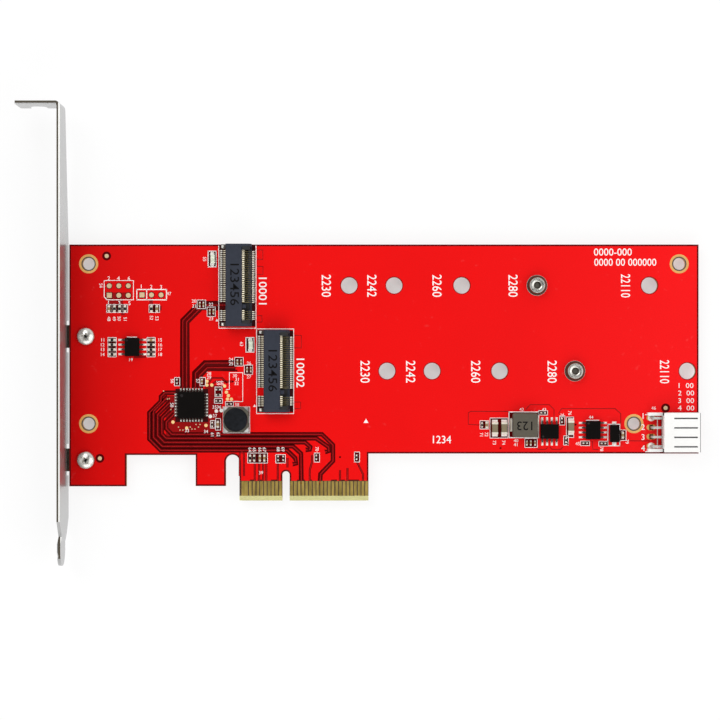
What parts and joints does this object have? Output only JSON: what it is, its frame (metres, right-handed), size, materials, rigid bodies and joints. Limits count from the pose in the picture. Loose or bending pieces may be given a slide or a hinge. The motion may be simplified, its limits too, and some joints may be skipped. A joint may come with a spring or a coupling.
{
  "type": "nvme adapter card",
  "caption": "Red adapter card with a slot bracket: sockets and standoffs for flash modules, gold edge fingers and a white power header",
  "frame": {"origin": "centre of the edge key notch, on the line of the finger tips, on the component face", "axes": "+X along the card away from the bracket, +Y from the edge fingers towards the top edge, +Z out of the component face; the card lies flat, component side up"},
  "size_m": [0.1801, 0.1218, 0.0184],
  "materials": {
    "board_red": "red solder mask over glass-epoxy laminate, with plated gold and tinned pads",
    "nickel_steel": "folded sheet steel, bright nickel plated",
    "screw_nickel": "nickel plated machine screws",
    "standoff_tin": "turned nuts, bright tin plated",
    "contact_gold": "gold plated copper and spring bronze",
    "tinned_lead": "matt tin plate with soldered feet",
    "socket_slate": "slate grey heat-proof moulding",
    "header_white": "natural white moulding",
    "chip_black": "black moulding compound",
    "ferrite_grey": "sintered ferrite",
    "inductor_olive": "grey-olive pressed powder",
    "ceramic_brown": "brown ceramic with tinned ends",
    "ceramic_cream": "cream ceramic with tinned ends",
    "lamp_lens": "clear moulded lens on a white base"
  },
  "bodies": {
    "root": {"bracket": "nickel_steel", "bracket_screws": "screw_nickel", "circuit_board": "board_red", "controller_chip_body": "chip_black", "controller_chip_leads": "tinned_lead", "diode_body": "chip_black", "diode_terminals": "tinned_lead", "drum_inductor_base": "ferrite_grey", "drum_inductor_core": "ferrite_grey", "drum_inductor_terminals": "tinned_lead", "edge_fingers_back": "contact_gold", "edge_fingers_front": "contact_gold", "large_capacitors": "ceramic_brown", "module_socket_a_anchor_tabs": "tinned_lead", "module_socket_a_housing": "socket_slate", "module_socket_a_lower_contacts": "contact_gold", "module_socket_a_upper_contacts": "contact_gold", "module_socket_b_anchor_tabs": "tinned_lead", "module_socket_b_housing": "socket_slate", "module_socket_b_lower_contacts": "contact_gold", "module_socket_b_upper_contacts": "contact_gold", "module_standoffs": "standoff_tin", "power_header_housing": "header_white", "power_header_pins": "tinned_lead", "power_inductor_body": "inductor_olive", "power_inductor_terminals": "tinned_lead", "resistors": "chip_black", "small_capacitors": "ceramic_cream", "small_chip_bodies": "chip_black", "small_chip_leads": "tinned_lead", "status_lamps": "lamp_lens"}
  },
  "joints": []
}
